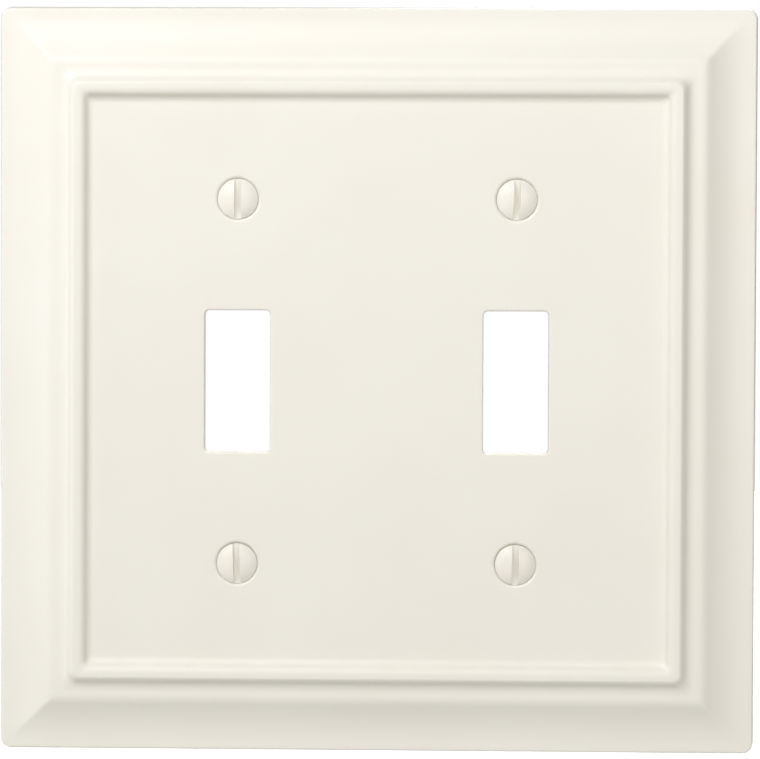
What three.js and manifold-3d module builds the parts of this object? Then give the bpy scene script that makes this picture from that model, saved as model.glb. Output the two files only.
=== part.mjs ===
// Two-gang toggle wall plate: one hollow-backed painted casting and the four screws that hold it.
// Millimetres, +Z up. The wall is the plane y = 0 and the plate stands off it towards -Y.
// The origin is the plate's centre on the wall.

import * as THREE from "three";
import { mergeVertices } from "three/addons/utils/BufferGeometryUtils.js";
import Module from "manifold-3d";

// Overall size, the standard spacings of a two-gang toggle plate, and its toggle openings.
// Openings and screws are centred a little below the plate's own centre.
const plateWidth = 126.4;
const plateHeight = 124.5;
const gangSpacing = 46.04;
const screwSpacing = 60.33;
const openingDrop = 0.1;
const toggleWidth = 10.76;
const toggleHeight = 23.5;
const toggleCornerRadius = 0.75;
const toggleEdgeRound = 0.42;

// The moulded border. Insets run inwards from the outer edge, heights run out from the wall,
// slopes are height over inset.
const outerCornerRadius = 2;
const mitreRadius = 0.3;
const edgeHeight = 2.4;
const edgeRound = 0.45;
const edgeDraft = 0.4;
const coveStart = 1.4;
const coveEnd = 8.35;
const coveEndHeight = 4.42;
const coveSlope = 0.58;
const ledgeStart = 10.05;
const ledgeEnd = 10.4;
const ledgeHeight = 4.9;
const riseInset = 12.32;
const riseHeight = 5.65;
const riseSlope = 1.45;
const crestStart = 13.35;
const crestEnd = 13.75;
const crestHeight = 6.6;
const fallInset = 15.18;
const fallHeight = 5.72;
const fallSlope = -2.7;
const footSlope = -0.17;
const panelInset = 16.3;
const panelHeight = 4.9;

// The hollow back: a flat rim, a thin wall behind the border and panel, ribs and screw bosses.
// Ribs and bosses run on into the wall by "embed" so that they join it.
const rimWidth = 5;
const wallThickness = 1.6;
const coveWall = 2;
const beadHollowStart = 12.95;
const beadHollowEnd = 14.05;
const rimDraft = 0.4;
const rimDepth = 0.9;
const ceilingHeight = panelHeight - wallThickness;
const ribWidth = 1.2;
const ribDepth = 1.7;
const crossRibHeight = 18.5;
const bossRadius = 4.8;
const bossHeight = 2.4;
const embed = 0.5;

// Screw holes: a countersunk dish with a soft rim over a plain clearance hole.
const holeRadius = 1.88;
const dishRadius = 3.55;
const countersinkAngle = 98;
const dishRimRound = 0.3;
const dishRimFlare = 0.1;
const dishRimDrop = 0.15;
const dishRimHeight = panelHeight - dishRimDrop;
const countersinkSlope = Math.tan(THREE.MathUtils.degToRad(90 - countersinkAngle / 2));
const dishFloorHeight = dishRimHeight - (dishRadius - holeRadius) / countersinkSlope;

// No. 6-32 oval-head screw.
const headGap = 0.22;
const headRadius = dishRadius - headGap;
const headRimLand = 0.12;
const headDome = 0.95;
const headDomeSteps = 5;
const threadRadius = 1.75;
const rootRadius = 1.35;
const threadPitch = 0.794;
const threadTurns = 16;
const threadRunout = 0.1;
const screwTipLength = 0.8;
const screwTipRadius = 0.95;
const driverSlotWidth = 1.1;
const driverSlotDepth = 1.05;

// How far every cutter reaches past the face it opens.
const cutterReach = 2;

const cornerSteps = 4;
const curveSteps = 6;
const edgeSteps = 3;
const holeSegments = 24;
const screwSegments = 12;

const wasm = await Module();
wasm.setup();

const plateMaterial = new THREE.MeshStandardMaterial({ color: 0xefebe0, roughness: 0.42, metalness: 0 });
const screwMaterial = new THREE.MeshStandardMaterial({ color: 0xe9e5da, roughness: 0.4, metalness: 0.1 });

function toManifold(geometry) {
  const bare = geometry.clone();
  bare.deleteAttribute("normal");
  bare.deleteAttribute("uv");
  const merged = mergeVertices(bare, 1e-4);
  return new wasm.Manifold(new wasm.Mesh({
    numProp: 3,
    vertProperties: new Float32Array(merged.attributes.position.array),
    triVerts: new Uint32Array(merged.index.array),
  }));
}

function toGeometry(manifold) {
  const mesh = manifold.getMesh();
  const geometry = new THREE.BufferGeometry();
  geometry.setAttribute("position", new THREE.BufferAttribute(new Float32Array(mesh.vertProperties), 3));
  geometry.setIndex(new THREE.BufferAttribute(new Uint32Array(mesh.triVerts), 1));
  geometry.computeVertexNormals();
  return geometry;
}

// A rounded rectangle seen from the front, at one height above the wall.
function roundedRing(halfWidth, halfHeight, radius, height) {
  const points = [];
  const quarter = Math.PI / 2;
  const signs = [[1, 1], [-1, 1], [-1, -1], [1, -1]];
  signs.forEach(([signX, signZ], corner) => {
    for (let step = 0; step <= cornerSteps; step += 1) {
      const angle = corner * quarter + (step / cornerSteps) * quarter;
      const x = signX * (halfWidth - radius) + radius * Math.cos(angle);
      const z = signZ * (halfHeight - radius) + radius * Math.sin(angle);
      points.push(new THREE.Vector3(x, -height, z));
    }
  });
  return points;
}

// A closed solid skinned over a row of rings that runs from its front to its back.
function loftRings(rings) {
  const count = rings[0].length;
  const points = rings.flat();
  const faces = [];
  for (let row = 0; row < rings.length - 1; row += 1) {
    for (let i = 0; i < count; i += 1) {
      const a = row * count + i;
      const b = row * count + ((i + 1) % count);
      const c = a + count;
      const d = b + count;
      faces.push(a, c, b, b, c, d);
    }
  }
  const frontCentre = points.length;
  points.push(new THREE.Vector3(0, rings[0][0].y, 0));
  const backCentre = points.length;
  points.push(new THREE.Vector3(0, rings.at(-1)[0].y, 0));
  const lastRow = (rings.length - 1) * count;
  for (let i = 0; i < count; i += 1) {
    const next = (i + 1) % count;
    faces.push(frontCentre, i, next);
    faces.push(backCentre, lastRow + next, lastRow + i);
  }
  const geometry = new THREE.BufferGeometry().setFromPoints(points);
  geometry.setIndex(faces);
  return geometry;
}

// Draws a curve on to an end point that arrives at one slope, having left the last point at another.
function bendTo(path, startSlope, endX, endY, endSlope) {
  const { x, y } = path.currentPoint;
  const middle = (endY - y - endSlope * endX + startSlope * x) / (startSlope - endSlope);
  path.quadraticCurveTo(middle, y + startSlope * (middle - x), endX, endY);
}

// The front of the border, from the wall at the outer edge in to the flat panel.
function frontProfile() {
  const path = new THREE.Path();
  path.moveTo(0, 0);
  path.lineTo(edgeDraft, edgeHeight - edgeRound);
  path.quadraticCurveTo(edgeDraft, edgeHeight, edgeDraft + edgeRound, edgeHeight);
  path.lineTo(coveStart, edgeHeight);
  bendTo(path, 0, coveEnd, coveEndHeight, coveSlope);
  bendTo(path, coveSlope, ledgeStart, ledgeHeight, 0);
  path.lineTo(ledgeEnd, ledgeHeight);
  bendTo(path, 0, riseInset, riseHeight, riseSlope);
  bendTo(path, riseSlope, crestStart, crestHeight, 0);
  path.lineTo(crestEnd, crestHeight);
  bendTo(path, 0, fallInset, fallHeight, fallSlope);
  bendTo(path, fallSlope, panelInset, panelHeight, footSlope);
  return path.getPoints(curveSteps);
}

// The back of the border, from the flat rim that meets the wall in to the ceiling of the hollow.
function backProfile() {
  const path = new THREE.Path();
  path.moveTo(rimWidth, 0);
  path.lineTo(rimWidth + rimDraft, rimDepth);
  path.lineTo(coveEnd, coveEndHeight - coveWall);
  path.lineTo(ledgeEnd, ledgeHeight - wallThickness);
  path.lineTo(riseInset, ceilingHeight);
  path.lineTo(beadHollowStart, crestHeight - wallThickness);
  path.lineTo(beadHollowEnd, crestHeight - wallThickness);
  path.lineTo(fallInset, ceilingHeight);
  path.lineTo(panelInset, ceilingHeight);
  return path.getPoints(1);
}

function plateBlank() {
  const profile = [...frontProfile().reverse(), ...backProfile()];
  const rings = profile.map(({ x: inset, y: height }) => {
    const radius = Math.max(outerCornerRadius - inset, mitreRadius);
    return roundedRing(plateWidth / 2 - inset, plateHeight / 2 - inset, radius, height);
  });
  return toManifold(loftRings(rings));
}

// Cuts one toggle opening, a little wider at the front where its edge is rounded over.
function toggleCutter(centreX) {
  const path = new THREE.Path();
  path.moveTo(toggleEdgeRound, panelHeight + cutterReach);
  path.lineTo(toggleEdgeRound, panelHeight);
  path.quadraticCurveTo(0, panelHeight, 0, panelHeight - toggleEdgeRound);
  path.lineTo(0, ceilingHeight - cutterReach);
  const rings = path.getPoints(edgeSteps).map(({ x: grow, y: height }) => roundedRing(
    toggleWidth / 2 + grow, toggleHeight / 2 + grow, toggleCornerRadius + grow, height));
  return toManifold(loftRings(rings).translate(centreX, 0, -openingDrop));
}

// A solid of revolution about an axis that runs out from the wall through (x, z).
function latheOutwards(profile, segments, x, z) {
  return new THREE.LatheGeometry(profile, segments).rotateX(Math.PI).translate(x, 0, z);
}

function screwHoleCutter(x, z) {
  const path = new THREE.Path();
  path.moveTo(0, 0);
  path.lineTo(holeRadius, 0);
  path.lineTo(holeRadius, dishFloorHeight);
  path.lineTo(dishRadius, dishRimHeight);
  path.quadraticCurveTo(dishRadius + dishRimFlare, panelHeight, dishRadius + dishRimRound, panelHeight);
  path.lineTo(dishRadius + dishRimRound, panelHeight + cutterReach);
  path.lineTo(0, panelHeight + cutterReach);
  return toManifold(latheOutwards(path.getPoints(edgeSteps), holeSegments, x, z));
}

function boss(x, z) {
  const length = ceilingHeight + embed - bossHeight;
  const geometry = new THREE.CylinderGeometry(bossRadius, bossRadius, length, holeSegments);
  return toManifold(geometry.translate(x, -(bossHeight + length / 2), z));
}

function rib(width, height, x, z) {
  const depth = ribDepth + embed;
  const geometry = new THREE.BoxGeometry(width, depth, height);
  return toManifold(geometry.translate(x, -(ceilingHeight - ribDepth + depth / 2), z));
}

function wallPlate() {
  const hollowWidth = plateWidth - 2 * riseInset;
  const hollowHeight = plateHeight - 2 * riseInset;
  let body = plateBlank();
  body = body.add(rib(ribWidth, hollowHeight, 0, 0));
  for (const z of [-crossRibHeight, crossRibHeight]) {
    body = body.add(rib(hollowWidth, ribWidth, 0, z));
  }
  for (const [x, z] of screwPlaces) {
    body = body.add(boss(x, z)).subtract(screwHoleCutter(x, z));
  }
  for (const x of [-gangSpacing / 2, gangSpacing / 2]) {
    body = body.subtract(toggleCutter(x));
  }
  return toGeometry(body);
}

// Oval head with a straight driver slot over a shank with ring grooves for its thread.
function screw() {
  const shankTop = dishRimHeight - headRimLand - (headRadius - threadRadius) / countersinkSlope;
  const profile = [new THREE.Vector2(0, shankTop - threadTurns * threadPitch - screwTipLength)];
  profile.push(new THREE.Vector2(screwTipRadius, profile[0].y));
  for (let turn = threadTurns; turn > 0; turn -= 1) {
    const base = shankTop - turn * threadPitch;
    profile.push(new THREE.Vector2(rootRadius, base));
    profile.push(new THREE.Vector2(threadRadius, base + threadPitch / 2));
  }
  profile.push(new THREE.Vector2(rootRadius, shankTop - threadRunout));
  profile.push(new THREE.Vector2(threadRadius, shankTop));
  profile.push(new THREE.Vector2(headRadius, dishRimHeight - headRimLand));
  profile.push(new THREE.Vector2(headRadius, dishRimHeight));
  for (let step = 1; step <= headDomeSteps; step += 1) {
    const radius = 1 - step / headDomeSteps;
    profile.push(new THREE.Vector2(headRadius * radius, dishRimHeight + headDome * (1 - radius ** 2)));
  }
  const slotFloor = dishRimHeight + headDome - driverSlotDepth;
  const slotReach = driverSlotDepth + cutterReach;
  const slot = new THREE.BoxGeometry(driverSlotWidth, slotReach, 2 * (headRadius + cutterReach));
  slot.translate(0, -(slotFloor + slotReach / 2), 0);
  const body = toManifold(latheOutwards(profile, screwSegments, 0, 0));
  return toGeometry(body.subtract(toManifold(slot)));
}

const screwPlaces = [];
for (const z of [screwSpacing / 2 - openingDrop, -screwSpacing / 2 - openingDrop]) {
  for (const x of [-gangSpacing / 2, gangSpacing / 2]) {
    screwPlaces.push([x, z]);
  }
}

const assembly = new THREE.Group();

const plate = new THREE.Mesh(wallPlate(), plateMaterial);
plate.name = "wall_plate";
assembly.add(plate);

const screwGeometry = screw();
const screwNames = ["screw_top_left", "screw_top_right", "screw_bottom_left", "screw_bottom_right"];
screwNames.forEach((name, index) => {
  const mesh = new THREE.Mesh(screwGeometry, screwMaterial);
  const [x, z] = screwPlaces[index];
  mesh.name = name;
  mesh.position.set(x, 0, z);
  assembly.add(mesh);
});

export default assembly;
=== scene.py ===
"""A two-gang toggle wall plate and its four screws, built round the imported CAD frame.

Metres, +Z up. The wall is the plane y = 0 and the plate stands off it towards -Y. The plate's border is
skinned over rings: each ring keeps one inset from the outer edge and one height above the wall.
"""

import math

import bmesh
import bpy
from mathutils import Matrix, Vector


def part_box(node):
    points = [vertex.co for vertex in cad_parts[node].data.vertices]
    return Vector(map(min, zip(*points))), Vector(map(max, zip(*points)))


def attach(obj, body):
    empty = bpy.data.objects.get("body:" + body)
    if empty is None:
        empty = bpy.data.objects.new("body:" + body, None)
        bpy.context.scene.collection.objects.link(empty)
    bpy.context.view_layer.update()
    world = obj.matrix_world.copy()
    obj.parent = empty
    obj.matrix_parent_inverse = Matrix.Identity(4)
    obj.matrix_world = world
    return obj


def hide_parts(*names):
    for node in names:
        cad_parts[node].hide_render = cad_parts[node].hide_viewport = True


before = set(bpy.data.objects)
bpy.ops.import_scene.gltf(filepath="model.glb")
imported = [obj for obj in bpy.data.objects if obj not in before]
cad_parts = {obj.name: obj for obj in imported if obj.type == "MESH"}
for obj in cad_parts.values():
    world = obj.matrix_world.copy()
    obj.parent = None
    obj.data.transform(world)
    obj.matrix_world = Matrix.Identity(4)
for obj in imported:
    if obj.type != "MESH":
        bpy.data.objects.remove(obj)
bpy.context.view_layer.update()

MM = 0.001
PLATE = "wall_plate"
SCREWS = ["screw_top_left", "screw_top_right", "screw_bottom_left", "screw_bottom_right"]

plate_low, plate_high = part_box(PLATE)
HALF_WIDTH = plate_high.x
HALF_HEIGHT = plate_high.z
CREST_HEIGHT = -plate_low.y


def centre_of(name):
    """Where a screw's axis is, seen from the front."""
    low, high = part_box(name)
    return (low.x + high.x) / 2, (low.z + high.z) / 2


SCREW_PLACES = [centre_of(name) for name in SCREWS]
GANG_OFFSET = SCREW_PLACES[1][0]
TOGGLE_LEVEL = (SCREW_PLACES[0][1] + SCREW_PLACES[2][1]) / 2

# The plate's section: insets from the outer edge, heights above the wall, slopes as rise over run.
FOOT_ROUND = 0.12 * MM
EDGE_HEIGHT = 2.4 * MM
EDGE_ROUND = 0.45 * MM
EDGE_DRAFT = 0.4 * MM
COVE_START = 1.4 * MM
COVE_END = 8.35 * MM
COVE_END_HEIGHT = 4.42 * MM
COVE_SLOPE = 0.58
LEDGE_START = 10.05 * MM
LEDGE_END = 10.4 * MM
LEDGE_HEIGHT = 4.9 * MM
RISE_INSET = 12.32 * MM
RISE_HEIGHT = 5.65 * MM
RISE_SLOPE = 1.45
CREST_START = 13.35 * MM
CREST_END = 13.75 * MM
FALL_INSET = 15.18 * MM
FALL_HEIGHT = 5.72 * MM
FALL_SLOPE = -2.7
FOOT_SLOPE = -0.17
PANEL_INSET = 16.3 * MM
PANEL_HEIGHT = 4.9 * MM
WALL = 1.6 * MM
CEILING_HEIGHT = PANEL_HEIGHT - WALL
HOLLOW_TOP = 5.0 * MM
RIM_WIDTH = 5 * MM
CORNER_RADIUS = 2.0 * MM

TOGGLE_HALF_WIDTH = 5.38 * MM
TOGGLE_HALF_HEIGHT = 11.75 * MM
TOGGLE_RADIUS = 0.75 * MM
TOGGLE_EDGE_ROUND = 0.42 * MM
TOGGLE_BACK_ROUND = 0.15 * MM

HOLE_RADIUS = 1.88 * MM
DISH_RADIUS = 3.55 * MM
DISH_RIM = 0.35 * MM
DISH_RIM_HEIGHT = PANEL_HEIGHT - 0.15 * MM
HOLE_EDGE = 0.12 * MM
HOLE_SIDES = 72
COUNTERSINK_SLOPE = math.tan(math.radians(41))
BOSS_RADIUS = 4.8 * MM
BOSS_HEIGHT = 2.4 * MM

# Ribs: half widths with heights above the wall, and how high the rib's top runs at each inset.
CROSS_RIB_OFFSET = 18.5 * MM
RIB_TIP = 1.55 * MM
CROSS_RIB_TIP = 1.6 * MM
RIB_TOP_HALF_WIDTH = 1.4 * MM
RIB_ROOT = [(0.68, 2.7), (0.78, 2.95), (1.0, 3.18), (1.4, 3.34)]
RIB_TOP = [(8.3, 3.2), (10.8, 3.7), (12.9, 5.3), (14.0, 5.3), (15.4, 4.1), (17.5, 4.1)]

# No. 6-32 oval-head screws.
THREAD_PITCH = 0.794 * MM
THREAD_RADIUS = 1.74 * MM
ROOT_RADIUS = 1.36 * MM
HEAD_RADIUS = 3.33 * MM
HEAD_DOME = 0.95 * MM
HEAD_LAND = 0.12 * MM
NECK_RUNOUT = 0.1 * MM
SLOT_WIDTH = 1.1 * MM
SLOT_DEPTH = 1.05 * MM
SLOT_FLOOR_ROUND = 0.12 * MM
SLOT_ANGLES = (0.0, 0.05, -0.04, 0.02)
THREAD_SIDES = 40
THREAD_STEPS = 8


# ---------------------------------------------------------------- curves and loops


def bezier(points, steps):
    """Points on one Bezier curve of any degree, first point left out."""
    out = []
    for i in range(1, steps + 1):
        t = i / steps
        work = [Vector(p) for p in points]
        while len(work) > 1:
            work = [a.lerp(b, t) for a, b in zip(work, work[1:])]
        out.append(work[0].copy())
    return out


def section(start, *moves):
    """A section line: each move is (steps, point, ...) for one straight line or Bezier curve."""
    out = [Vector(start)]
    for steps, *points in moves:
        out += bezier([out[-1], *points], steps)
    return out


def bend(start, start_slope, end, end_slope):
    """The middle and end points of a curve that leaves and arrives at the given slopes."""
    rise = end[1] - start[1]
    across = (rise - end_slope * end[0] + start_slope * start[0]) / (start_slope - end_slope)
    return (across, start[1] + start_slope * (across - start[0])), end


def rounded_loop(half_width, half_height, radius, height, centre=(0, 0), arc_steps=10, hold=0.6 * MM):
    """A rounded rectangle seen from the front, with one more point on each straight beside a corner."""
    points = []
    for corner, (sx, sz) in enumerate([(1, 1), (-1, 1), (-1, -1), (1, -1)]):
        reach = Vector((sx * (half_width - radius), sz * (half_height - radius)))
        middle = Vector(centre) + reach
        start = corner * math.pi / 2
        first = Vector((math.cos(start), math.sin(start)))
        last = Vector((-math.sin(start), math.cos(start)))
        turn = [middle + radius * first - hold * last]
        for i in range(arc_steps + 1):
            angle = i / arc_steps * math.pi / 2
            turn.append(middle + radius * (math.cos(angle) * first + math.sin(angle) * last))
        turn.append(middle + radius * last - hold * first)
        points += [Vector((p.x, -height, p.y)) for p in turn]
    return points


def round_loop(radius, height, centre, steps):
    return [
        Vector((
            centre[0] + radius * math.cos(i / steps * math.tau),
            -height,
            centre[1] + radius * math.sin(i / steps * math.tau),
        ))
        for i in range(steps)
    ]


def skin(bm, loops, material=0):
    """Quads between each loop and the next. Returns the first and last loops' vertices."""
    rows = [[bm.verts.new(p) for p in loop] for loop in loops]
    for a, b in zip(rows, rows[1:]):
        for i in range(len(a)):
            j = (i + 1) % len(a)
            bm.faces.new((a[i], a[j], b[j], b[i])).material_index = material
    return rows[0], rows[-1]


def loop_edges(bm, verts):
    return [bm.edges.get((verts[i], verts[(i + 1) % len(verts)])) for i in range(len(verts))]


def fill_between(bm, outer, holes, material=0):
    """Fills a flat region bounded by one outer loop and the loops of its holes."""
    edges = loop_edges(bm, outer)
    for hole in holes:
        edges += loop_edges(bm, hole)
    made = bmesh.ops.triangle_fill(bm, use_beauty=True, edges=edges, normal=(0, 1, 0))
    for part in made["geom"]:
        if isinstance(part, bmesh.types.BMFace):
            part.material_index = material


def closed_skin(loops):
    """A closed solid skinned over loops, as a new bmesh."""
    bm = bmesh.new()
    first, last = skin(bm, loops)
    bm.faces.new(first)
    bm.faces.new(last)
    bmesh.ops.recalc_face_normals(bm, faces=bm.faces)
    return bm


def object_from(bm, name):
    """A working object that takes over a bmesh."""
    mesh = bpy.data.meshes.new(name)
    bm.to_mesh(mesh)
    bm.free()
    made = bpy.data.objects.new(name, mesh)
    bpy.context.collection.objects.link(made)
    return made


def combined(thing, operation, tools):
    """An object united with its tools, or cut by them, as a new bmesh. Removes the objects."""
    for tool in tools:
        modifier = thing.modifiers.new("combine", "BOOLEAN")
        modifier.operation = operation
        modifier.solver = "EXACT"
        modifier.object = tool
    evaluated = thing.evaluated_get(bpy.context.evaluated_depsgraph_get())
    bm = bmesh.new()
    bm.from_mesh(evaluated.to_mesh())
    evaluated.to_mesh_clear()
    for used in [thing, *tools]:
        bpy.data.objects.remove(used)
    return bm


def finished(bm, name, materials, body, nodes, smooth_angle=35):
    """Turns a bmesh into a piece that rides on a body and stands for its CAD nodes."""
    bmesh.ops.recalc_face_normals(bm, faces=bm.faces)
    mesh = bpy.data.meshes.new(name)
    bm.to_mesh(mesh)
    bm.free()
    for material in materials:
        mesh.materials.append(material)
    mesh.shade_smooth()
    mesh.set_sharp_from_angle(angle=math.radians(smooth_angle))
    piece = bpy.data.objects.new(name, mesh)
    bpy.context.collection.objects.link(piece)
    weights = piece.modifiers.new("even_shading", "WEIGHTED_NORMAL")
    weights.keep_sharp = True
    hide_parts(*nodes)
    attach(piece, body)
    return piece


# ---------------------------------------------------------------- materials


def new_material(name):
    material = bpy.data.materials.new(name)
    material.use_nodes = True
    tree = material.node_tree
    shader = tree.nodes["Principled BSDF"]
    return material, tree, shader


def node(tree, kind, **inputs):
    made = tree.nodes.new(kind)
    for key, value in inputs.items():
        made.inputs[key.replace("_", " ")].default_value = value
    return made


def noise(tree, scale, detail=3.0, roughness=0.5):
    """A noise texture fixed to the object, scale in cycles per metre."""
    coords = tree.nodes.new("ShaderNodeTexCoord")
    made = node(tree, "ShaderNodeTexNoise", Scale=scale, Detail=detail, Roughness=roughness)
    tree.links.new(coords.outputs["Object"], made.inputs["Vector"])
    return made.outputs["Fac"]


def ramp(tree, source, low, high, start=0.3, end=0.7):
    """Maps a 0 to 1 value to a range of values or colours."""
    if isinstance(low, (int, float)):
        made = tree.nodes.new("ShaderNodeMapRange")
        made.inputs["From Min"].default_value = start
        made.inputs["From Max"].default_value = end
        made.inputs["To Min"].default_value = low
        made.inputs["To Max"].default_value = high
        tree.links.new(source, made.inputs["Value"])
        return made.outputs["Result"]
    made = tree.nodes.new("ShaderNodeValToRGB")
    made.color_ramp.elements[0].position = start
    made.color_ramp.elements[0].color = (*low, 1)
    made.color_ramp.elements[1].position = end
    made.color_ramp.elements[1].color = (*high, 1)
    tree.links.new(source, made.inputs["Fac"])
    return made.outputs["Color"]


def mix_colour(tree, factor, a, b):
    """Mixes two colours. Sockets 6 and 7 are the colours A and B, and output 2 is the mixed colour."""
    made = tree.nodes.new("ShaderNodeMix")
    made.data_type = "RGBA"
    tree.links.new(factor, made.inputs["Factor"])
    tree.links.new(a, made.inputs[6])
    tree.links.new(b, made.inputs[7])
    return made.outputs[2]


def bump(tree, shader, *layers):
    """Stacks bump layers, each (height, strength, distance in metres)."""
    normal = None
    for height, strength, distance in layers:
        made = node(tree, "ShaderNodeBump", Strength=strength, Distance=distance)
        tree.links.new(height, made.inputs["Height"])
        if normal:
            tree.links.new(normal, made.inputs["Normal"])
        normal = made.outputs["Normal"]
    tree.links.new(normal, shader.inputs["Normal"])


PAINT_LIGHT = (0.795, 0.764, 0.686)
PAINT_DEEP = (0.780, 0.747, 0.664)
# Painted shade: darker paint colours for the outer side face near the wall, standing in for the shade
# along the plate's edge.
PAINTED_SHADE_LIGHT = (0.57, 0.545, 0.485)
PAINTED_SHADE_DEEP = (0.47, 0.445, 0.395)


def object_axes(tree):
    """The X, Y and Z of a point on the piece, in metres."""
    coords = tree.nodes.new("ShaderNodeTexCoord")
    parts = tree.nodes.new("ShaderNodeSeparateXYZ")
    tree.links.new(coords.outputs["Object"], parts.inputs["Vector"])
    return parts.outputs


def calculate(tree, operation, *values):
    """A math node fed with sockets or plain numbers."""
    made = tree.nodes.new("ShaderNodeMath")
    made.operation = operation
    for socket, value in zip(made.inputs, values):
        if isinstance(value, (int, float)):
            socket.default_value = value
        else:
            tree.links.new(value, socket)
    return made.outputs[0]


def paint_colour(tree):
    return ramp(tree, noise(tree, 45, 2), PAINT_DEEP, PAINT_LIGHT)


def paint():
    """Satin light almond paint: fine orange peel, a faint slow unevenness, and painted shade darkening
    the outer edge's foot near the wall.
    """
    material, tree, shader = new_material("almond_paint")
    # Painted shade: within 1.6 mm of the wall the outer side face is mixed to a darker colour, in place
    # of the shade along the edge.
    near_wall = ramp(tree, object_axes(tree)["Y"], 0.0, 1.0, -2.0 * MM, -1.6 * MM)
    painted_shade = ramp(tree, noise(tree, 300, 4), PAINTED_SHADE_DEEP, PAINTED_SHADE_LIGHT)
    tree.links.new(mix_colour(tree, near_wall, paint_colour(tree), painted_shade), shader.inputs["Base Color"])
    tree.links.new(ramp(tree, noise(tree, 260, 2), 0.40, 0.48), shader.inputs["Roughness"])
    bump(
        tree, shader,
        (noise(tree, 140, 1), 0.25, 0.02 * MM),
        (noise(tree, 1100, 2), 0.35, 0.006 * MM),
    )
    shader.inputs["IOR"].default_value = 1.48
    return material


def cast_back():
    """Bare zinc casting, dull and slightly mottled, with paint overspray along its rim."""
    material, tree, shader = new_material("zinc_casting")
    axes = object_axes(tree)
    inset_across = calculate(tree, "SUBTRACT", HALF_WIDTH, calculate(tree, "ABSOLUTE", axes["X"]))
    inset_up = calculate(tree, "SUBTRACT", HALF_HEIGHT, calculate(tree, "ABSOLUTE", axes["Z"]))
    inset = calculate(tree, "MINIMUM", inset_across, inset_up)
    raggedness = ramp(tree, noise(tree, 420, 4, 0.7), -1.6 * MM, 1.6 * MM)
    ragged_inset = calculate(tree, "ADD", inset, raggedness)
    overspray = ramp(tree, ragged_inset, 1.0, 0.0, 0.6 * MM, 4.5 * MM)
    zinc = ramp(tree, noise(tree, 90, 5, 0.62), (0.40, 0.405, 0.41), (0.56, 0.56, 0.555))
    tree.links.new(mix_colour(tree, overspray, zinc, paint_colour(tree)), shader.inputs["Base Color"])
    tree.links.new(ramp(tree, overspray, 0.85, 0.0, 0.15, 0.85), shader.inputs["Metallic"])
    tree.links.new(ramp(tree, noise(tree, 300, 4, 0.6), 0.42, 0.6), shader.inputs["Roughness"])
    bump(
        tree, shader,
        (noise(tree, 160, 4), 0.3, 0.05 * MM),
        (noise(tree, 1600, 3), 0.4, 0.012 * MM),
    )
    return material


def zinc_plating():
    """Bright zinc plating on the screws' shanks."""
    material, tree, shader = new_material("zinc_plating")
    colour = ramp(tree, noise(tree, 500, 3), (0.62, 0.63, 0.64), (0.74, 0.74, 0.73))
    tree.links.new(colour, shader.inputs["Base Color"])
    tree.links.new(ramp(tree, noise(tree, 900, 4), 0.24, 0.42), shader.inputs["Roughness"])
    shader.inputs["Metallic"].default_value = 1.0
    bump(tree, shader, (noise(tree, 2500, 2), 0.2, 0.006 * MM))
    return material


def floor_paper():
    """Pale paper, lit from below more and more outwards, so that it stays even away from the lights."""
    material, tree, shader = new_material("pale_paper")
    colour = ramp(tree, noise(tree, 6, 2), (0.90, 0.90, 0.89), (0.92, 0.92, 0.91))
    tree.links.new(colour, shader.inputs["Base Color"])
    tree.links.new(ramp(tree, noise(tree, 30, 2), 0.85, 0.95), shader.inputs["Roughness"])
    tree.links.new(colour, shader.inputs["Emission Color"])
    coords = tree.nodes.new("ShaderNodeTexCoord")
    distance = tree.nodes.new("ShaderNodeVectorMath")
    distance.operation = "LENGTH"
    tree.links.new(coords.outputs["Object"], distance.inputs[0])
    glow = ramp(tree, distance.outputs["Value"], 0.25, 0.9, 0.2, 0.6)
    tree.links.new(glow, shader.inputs["Emission Strength"])
    return material


# ---------------------------------------------------------------- the plate


def corner_radius(inset):
    """How round the mitred corners are, softened by paint, at each inset."""
    stops = [
        (0, CORNER_RADIUS),
        (COVE_START, 0.9 * MM),
        (4 * MM, 0.5 * MM),
        (COVE_END, 0.5 * MM),
        (LEDGE_START, 0.6 * MM),
        (LEDGE_END, 0.9 * MM),
        (RISE_INSET, 1.6 * MM),
        (CREST_START, 1.15 * MM),
        (FALL_INSET, 0.9 * MM),
        (PANEL_INSET, 0.6 * MM),
    ]
    for (i0, r0), (i1, r1) in zip(stops, stops[1:]):
        if inset <= i1:
            return r0 + (r1 - r0) * max(0, inset - i0) / (i1 - i0)
    return stops[-1][1]


def front_section():
    """From the wall at the outer edge, over the cove, ledge and bead, in to the flat panel."""
    cove_start = (COVE_START, EDGE_HEIGHT)
    cove_end = (COVE_END, COVE_END_HEIGHT)
    ledge_start = (LEDGE_START, LEDGE_HEIGHT)
    ledge_end = (LEDGE_END, LEDGE_HEIGHT)
    rise = (RISE_INSET, RISE_HEIGHT)
    crest_start = (CREST_START, CREST_HEIGHT)
    crest_end = (CREST_END, CREST_HEIGHT)
    fall = (FALL_INSET, FALL_HEIGHT)
    foot = (PANEL_INSET, PANEL_HEIGHT)
    return section(
        (FOOT_ROUND, 0),
        (3, (0, 0), (0, 0.15 * MM)),
        (1, (EDGE_DRAFT, EDGE_HEIGHT - EDGE_ROUND)),
        (8, (EDGE_DRAFT + 0.06 * MM, EDGE_HEIGHT), (EDGE_DRAFT + EDGE_ROUND, EDGE_HEIGHT)),
        (1, cove_start),
        (14, *bend(cove_start, 0, cove_end, COVE_SLOPE)),
        (6, *bend(cove_end, COVE_SLOPE, ledge_start, 0)),
        (1, ledge_end),
        (14, *bend(ledge_end, 0, rise, RISE_SLOPE)),
        (10, *bend(rise, RISE_SLOPE, crest_start, 0)),
        (1, crest_end),
        (10, *bend(crest_end, 0, fall, FALL_SLOPE)),
        (12, *bend(fall, FALL_SLOPE, foot, FOOT_SLOPE)),
        (1, (PANEL_INSET + 0.5 * MM, PANEL_HEIGHT)),
    )


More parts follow.
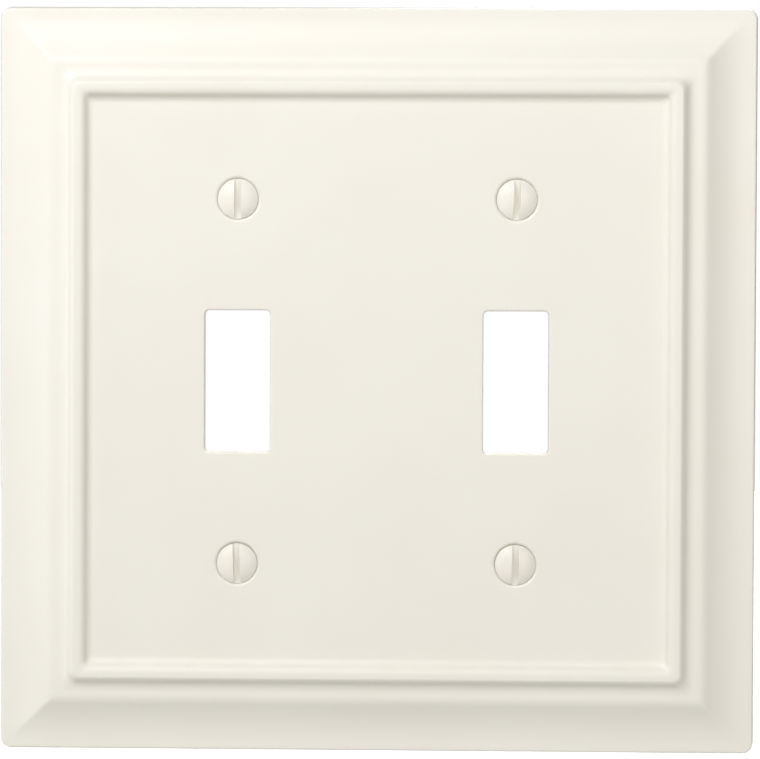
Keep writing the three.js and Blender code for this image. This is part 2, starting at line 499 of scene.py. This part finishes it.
def back_section():
    """From the flat rim on the wall in to the ceiling of the hollow, with soft corners."""
    return section(
        (FOOT_ROUND, 0),
        (1, (RIM_WIDTH - 0.25 * MM, 0)),
        (4, (RIM_WIDTH, 0), (RIM_WIDTH + 0.1 * MM, 0.25 * MM)),
        (1, (RIM_WIDTH + 0.3 * MM, 0.6 * MM)),
        (5, (RIM_WIDTH + 0.6 * MM, 0.95 * MM), (RIM_WIDTH + 1.5 * MM, 1.15 * MM)),
        (1, (8.5 * MM, 2.35 * MM)),
        (5, (9.6 * MM, 2.95 * MM), (10.9 * MM, 3.15 * MM)),
        (6, (12.7 * MM, CEILING_HEIGHT), (12.5 * MM, HOLLOW_TOP), (13.5 * MM, HOLLOW_TOP)),
        (6, (14.6 * MM, HOLLOW_TOP), (14.3 * MM, CEILING_HEIGHT), (15.6 * MM, CEILING_HEIGHT)),
        (1, (PANEL_INSET + 0.3 * MM, CEILING_HEIGHT)),
    )


def border_loops(points):
    return [
        rounded_loop(HALF_WIDTH - p.x, HALF_HEIGHT - p.x, corner_radius(p.x), p.y)
        for p in points
    ]


def toggle_loops(centre_x):
    """One toggle opening, from the panel through to the ceiling, with small rounds at both edges."""
    r = TOGGLE_EDGE_ROUND
    back = TOGGLE_BACK_ROUND
    line = section(
        (r + 0.4 * MM, PANEL_HEIGHT),
        (1, (r, PANEL_HEIGHT)),
        (6, (0.35 * r, PANEL_HEIGHT), (0, PANEL_HEIGHT - 0.35 * r), (0, PANEL_HEIGHT - r)),
        (1, (0, CEILING_HEIGHT + back)),
        (4, (0, CEILING_HEIGHT), (back, CEILING_HEIGHT)),
        (1, (back + 0.4 * MM, CEILING_HEIGHT)),
    )
    return [
        rounded_loop(TOGGLE_HALF_WIDTH + p.x, TOGGLE_HALF_HEIGHT + p.x, TOGGLE_RADIUS + p.x, p.y,
                     centre=(centre_x, TOGGLE_LEVEL), arc_steps=8, hold=0.3 * MM)
        for p in line
    ]


def screw_hole_loops(centre):
    """A soft-rimmed countersunk dish, the clearance hole and the boss round it at the back."""
    rim = DISH_RADIUS + DISH_RIM
    floor_height = DISH_RIM_HEIGHT - (DISH_RADIUS - HOLE_RADIUS) / COUNTERSINK_SLOPE
    edge = HOLE_EDGE
    line = section(
        (rim + 0.6 * MM, PANEL_HEIGHT),
        (1, (rim + 0.05 * MM, PANEL_HEIGHT)),
        (8, (DISH_RADIUS + 0.15 * MM, PANEL_HEIGHT), (DISH_RADIUS - 0.1 * MM, DISH_RIM_HEIGHT - edge)),
        (1, (HOLE_RADIUS + edge, floor_height + edge)),
        (4, (HOLE_RADIUS, floor_height), (HOLE_RADIUS, floor_height - edge)),
        (1, (HOLE_RADIUS, BOSS_HEIGHT + edge)),
        (3, (HOLE_RADIUS, BOSS_HEIGHT), (HOLE_RADIUS + edge, BOSS_HEIGHT)),
        (1, (BOSS_RADIUS - 0.3 * MM, BOSS_HEIGHT)),
        (4, (BOSS_RADIUS, BOSS_HEIGHT), (BOSS_RADIUS + 0.02 * MM, BOSS_HEIGHT + 0.3 * MM)),
        (1, (BOSS_RADIUS + 0.06 * MM, CEILING_HEIGHT - 0.45 * MM)),
        (5, (BOSS_RADIUS + 0.08 * MM, CEILING_HEIGHT), (BOSS_RADIUS + 0.55 * MM, CEILING_HEIGHT)),
        (1, (BOSS_RADIUS + 1.0 * MM, CEILING_HEIGHT)),
    )
    return [round_loop(p.x, p.y, centre, HOLE_SIDES) for p in line]


def rib_solid(length_half, offset, upright, tip):
    """A rib with a flared root, its top buried in the casting. Its ends run into the border's wall."""
    side = [(0.30 * MM, tip), (0.50 * MM, tip + 0.06 * MM), (0.60 * MM, tip + 0.3 * MM)]
    side += [(half_width * MM, height * MM) for half_width, height in RIB_ROOT]
    stations = [(length_half - inset * MM, top * MM) for inset, top in RIB_TOP]
    stations += [(-s, top) for s, top in reversed(stations)]
    rows = []
    for along, top in stations:
        half = side + [(RIB_TOP_HALF_WIDTH, top)]
        row = half + [(-w, h) for w, h in reversed(half)]
        points = []
        for across, height in row:
            if upright:
                points.append(Vector((offset + across, -height, along)))
            else:
                points.append(Vector((along, -height, offset + across)))
        rows.append(points)
    return closed_skin(rows)


def join_ribs(bm):
    """Unites the stiffening ribs with the casting and returns the result as a new bmesh."""
    ribs = [rib_solid(HALF_HEIGHT, 0, True, RIB_TIP)]
    for side in (-1, 1):
        ribs.append(rib_solid(HALF_WIDTH, side * CROSS_RIB_OFFSET, False, CROSS_RIB_TIP))
    return combined(object_from(bm, "casting"), "UNION", [object_from(rib, "rib") for rib in ribs])


def build_plate(paint_material, back_material):
    bm = bmesh.new()
    front = front_section()
    _, panel_loop = skin(bm, border_loops(front), 0)
    _, ceiling_loop = skin(bm, border_loops(back_section()), 1)
    front_holes = []
    back_holes = []
    for x in (-GANG_OFFSET, GANG_OFFSET):
        first, last = skin(bm, toggle_loops(x), 0)
        front_holes.append(first)
        back_holes.append(last)
    for place in SCREW_PLACES:
        first, last = skin(bm, screw_hole_loops(place), 0)
        front_holes.append(first)
        back_holes.append(last)
    fill_between(bm, panel_loop, front_holes, 0)
    fill_between(bm, ceiling_loop, back_holes, 1)
    bmesh.ops.remove_doubles(bm, verts=bm.verts, dist=0.001 * MM)
    bmesh.ops.recalc_face_normals(bm, faces=bm.faces)
    bm = join_ribs(bm)
    mark_back(bm)
    materials = [paint_material, back_material]
    plate = finished(bm, "plate_casting", materials, "plate", [PLATE])
    crease_ceiling(plate.data)
    return plate


def crease_ceiling(mesh):
    """Keeps the hollow's flat ceiling evenly shaded where ribs and bosses rise from it."""
    neighbours = {}
    for polygon in mesh.polygons:
        for key in polygon.edge_keys:
            neighbours.setdefault(key, []).append(polygon.normal.y > 0.9999)
    for edge in mesh.edges:
        if len(set(neighbours[tuple(sorted(edge.vertices))])) == 2:
            edge.use_edge_sharp = True


def mark_back(bm):
    """Paint reaches the outer edge and the openings' walls; the faces turned to the wall stay bare."""
    outer_skin = 0.3 * MM
    for face in bm.faces:
        centre = face.calc_center_median()
        within = abs(centre.x) < HALF_WIDTH - outer_skin and abs(centre.z) < HALF_HEIGHT - outer_skin
        behind = within and -centre.y < CEILING_HEIGHT + 0.05 * MM
        turned_back = face.normal.y > 0.2
        face.material_index = 1 if turned_back or behind and face.normal.y > -0.05 else 0


# ---------------------------------------------------------------- the screws


def ring_of(radius, height):
    return round_loop(radius, height, (0, 0), THREAD_SIDES)


def head_solid():
    """The oval head and its neck, closed underneath, about the axis x = z = 0."""
    rim_height = DISH_RIM_HEIGHT
    neck_height = rim_height - HEAD_LAND - (HEAD_RADIUS - THREAD_RADIUS) / COUNTERSINK_SLOPE
    line = section(
        (ROOT_RADIUS, neck_height - NECK_RUNOUT),
        (4, (ROOT_RADIUS, neck_height - 0.02 * MM), (THREAD_RADIUS, neck_height)),
        (6, (HEAD_RADIUS - 0.05 * MM, rim_height - HEAD_LAND - 0.06 * MM)),
        (3, (HEAD_RADIUS, rim_height - HEAD_LAND), (HEAD_RADIUS, rim_height - 0.5 * HEAD_LAND)),
        (3, (HEAD_RADIUS, rim_height), (HEAD_RADIUS - 0.1 * MM, rim_height + 0.04 * MM)),
        (14, (0.62 * HEAD_RADIUS, rim_height + HEAD_DOME), (0.15 * MM, rim_height + HEAD_DOME)),
    )
    return closed_skin([ring_of(p.x, p.y) for p in line]), neck_height - NECK_RUNOUT


def slot_solid():
    """What the driver slot takes out of the head: straight walls, floor edges slightly rounded."""
    floor = DISH_RIM_HEIGHT + HEAD_DOME - SLOT_DEPTH
    line = section(
        (0, floor),
        (1, (SLOT_WIDTH / 2 - SLOT_FLOOR_ROUND, floor)),
        (4, (SLOT_WIDTH / 2, floor), (SLOT_WIDTH / 2, floor + SLOT_FLOOR_ROUND)),
        (1, (SLOT_WIDTH / 2 + 0.03 * MM, floor + SLOT_DEPTH + 1 * MM)),
    )
    outline = [(p.x, p.y) for p in line] + [(-p.x, p.y) for p in reversed(line[1:])]
    reach = 1.4 * HEAD_RADIUS
    return closed_skin([[Vector((x, -y, z)) for x, y in outline] for z in (-reach, reach)])


def slotted_head(angle):
    """The head with its slot cut, open underneath, and the height of that open ring."""
    solid, foot_height = head_solid()
    slot = object_from(slot_solid(), "slot")
    slot.rotation_euler.y = angle
    bm = combined(object_from(solid, "head"), "DIFFERENCE", [slot])
    under = [f for f in bm.faces if all(abs(v.co.y + foot_height) < 0.001 * MM for v in f.verts)]
    bmesh.ops.delete(bm, geom=under, context="FACES_ONLY")
    return bm, foot_height


def add_thread(bm, tip_height, top_height):
    """A rolled thread from a tapered tip up to the head's open ring."""
    length = top_height - tip_height
    tooth_steepness = 2.6
    crest_flat = 1.15
    runout = 0.9 * THREAD_PITCH
    lead_in = 0.7 * THREAD_PITCH
    tip_share = 0.72
    tip_length = 1.1 * MM
    count = int(length / THREAD_PITCH * THREAD_STEPS) + THREAD_STEPS
    rows = []
    for k in range(-THREAD_STEPS, count + 1):
        phase = k % THREAD_STEPS / THREAD_STEPS
        tooth = min(1.0, crest_flat * max(0.0, 1 - abs(phase - 0.5) * tooth_steepness))
        row = []
        for i in range(THREAD_SIDES):
            angle = i / THREAD_SIDES * math.tau
            along = min(max((k / THREAD_STEPS + i / THREAD_SIDES) * THREAD_PITCH, 0), length)
            fade = min(1.0, (length - along) / runout, along / lead_in)
            taper = min(1.0, tip_share + along / tip_length * (1 - tip_share))
            radius = (ROOT_RADIUS + (THREAD_RADIUS - ROOT_RADIUS) * tooth * fade) * taper
            across, up = radius * math.cos(angle), radius * math.sin(angle)
            row.append(Vector((across, -(tip_height + along), up)))
        rows.append(row)
    first, _ = skin(bm, rows, 1)
    bm.faces.new(first).material_index = 1
    bmesh.ops.remove_doubles(bm, verts=bm.verts, dist=0.002 * MM)
    bmesh.ops.dissolve_degenerate(bm, edges=bm.edges, dist=0.0005 * MM)


def build_screws(paint_material, plating_material):
    materials = [paint_material, plating_material]
    for name, (x, z), angle in zip(SCREWS, SCREW_PLACES, SLOT_ANGLES):
        bm, foot_height = slotted_head(angle)
        add_thread(bm, -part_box(name)[1].y, foot_height)
        bmesh.ops.translate(bm, verts=bm.verts, vec=Vector((x, 0, z)))
        finished(bm, name + "_detail", materials, name, [name], 30)


# ---------------------------------------------------------------- floor, light and camera

AMBIENT_BELOW = 0.675
FLOOR_RADIUS = 0.8
FLOOR_SIDES = 96
FLOOR_DROP = 45 * MM


def make_floor(material):
    bm = bmesh.new()
    ring = []
    for i in range(FLOOR_SIDES):
        angle = i / FLOOR_SIDES * math.tau
        ring.append(bm.verts.new((FLOOR_RADIUS * math.cos(angle), FLOOR_RADIUS * math.sin(angle), 0)))
    bm.faces.new(ring)
    mesh = bpy.data.meshes.new("floor")
    bm.to_mesh(mesh)
    bm.free()
    mesh.materials.append(material)
    floor = bpy.data.objects.new("floor", mesh)
    floor.location.z = -HALF_HEIGHT - FLOOR_DROP
    bpy.context.collection.objects.link(floor)
    floor.visible_diffuse = False
    floor.visible_shadow = False


def studio_light(name, azimuth, elevation, distance, size, watts, tint=(1, 1, 1)):
    """A soft round light aimed at the plate's centre. Azimuth 0 is in front of it, 90 to its right."""
    across, up = math.radians(azimuth), math.radians(elevation)
    direction = Vector((math.sin(across) * math.cos(up), -math.cos(across) * math.cos(up), math.sin(up)))
    data = bpy.data.lights.new(name, "AREA")
    data.shape = "DISK"
    data.size = size
    data.energy = watts
    data.color = tint
    light = bpy.data.objects.new(name, data)
    light.location = direction * distance
    light.rotation_euler = (-direction).to_track_quat("-Z", "Y").to_euler()
    bpy.context.collection.objects.link(light)


def make_lights():
    studio_light("key", -35, 35, 0.55, 0.30, 1.62, (0.98, 1.0, 1.06))
    studio_light("front_fill", 25, 10, 0.90, 0.40, 1.96, (1.02, 1.0, 0.93))
    studio_light("upper_fill", 0, 35, 0.90, 0.40, 1.53)
    studio_light("left_edge", -85, 0, 0.60, 0.30, 0.70)
    studio_light("top_edge", 0, 82, 0.50, 0.30, 0.30)
    studio_light("back", 160, 45, 1.10, 0.50, 10.0)


def make_world():
    """Pale surroundings: light that grows downwards, and plain white where the camera sees past."""
    world = bpy.data.worlds.new("studio")
    world.use_nodes = True
    bpy.context.scene.world = world
    tree = world.node_tree
    output = tree.nodes["World Output"]
    ambient = tree.nodes["Background"]
    ambient.inputs["Color"].default_value = (1, 1, 1, 1)
    coords = tree.nodes.new("ShaderNodeTexCoord")
    parts = tree.nodes.new("ShaderNodeSeparateXYZ")
    fade = tree.nodes.new("ShaderNodeMapRange")
    fade.inputs["From Min"].default_value = -1
    fade.inputs["From Max"].default_value = 1
    fade.inputs["To Min"].default_value = AMBIENT_BELOW
    fade.inputs["To Max"].default_value = 0
    tree.links.new(coords.outputs["Generated"], parts.inputs["Vector"])
    tree.links.new(parts.outputs["Z"], fade.inputs["Value"])
    tree.links.new(fade.outputs["Result"], ambient.inputs["Strength"])
    seen = tree.nodes.new("ShaderNodeBackground")
    seen.inputs["Color"].default_value = (1, 1, 1, 1)
    path = tree.nodes.new("ShaderNodeLightPath")
    mix = tree.nodes.new("ShaderNodeMixShader")
    tree.links.new(path.outputs["Is Camera Ray"], mix.inputs["Fac"])
    tree.links.new(ambient.outputs[0], mix.inputs[1])
    tree.links.new(seen.outputs[0], mix.inputs[2])
    tree.links.new(mix.outputs[0], output.inputs["Surface"])


def make_camera():
    """Nearly square on, close to the plate, from a little above its middle."""
    tilt, turn, roll = (math.radians(a) for a in (0.910, 1.049, 0.25))
    offset = Vector((1.77, 14.72, 334.2)) * MM
    data = bpy.data.cameras.new("camera")
    data.sensor_width = 36.0
    data.lens = 94.453
    data.shift_x = 0.01803
    data.shift_y = -0.11526
    data.dof.use_dof = False
    data.clip_start = 0.01
    camera = bpy.data.objects.new("camera", data)
    # Plate axes to camera axes: right, down, forward.
    to_view = (
        Matrix.Rotation(roll, 3, "Z") @ Matrix.Rotation(turn, 3, "Y") @ Matrix.Rotation(tilt, 3, "X")
        @ Matrix(((1, 0, 0), (0, 0, -1), (0, 1, 0)))
    )
    place = -(to_view.transposed() @ offset)
    flip = Matrix(((1, 0, 0), (0, -1, 0), (0, 0, -1)))
    camera.matrix_world = Matrix.Translation(place) @ (to_view.transposed() @ flip).to_4x4()
    bpy.context.collection.objects.link(camera)
    bpy.context.scene.camera = camera


make_camera()
make_world()
make_lights()
make_floor(floor_paper())
bpy.context.scene.view_settings.view_transform = "Standard"

almond = paint()
build_plate(almond, cast_back())
build_screws(almond, zinc_plating())
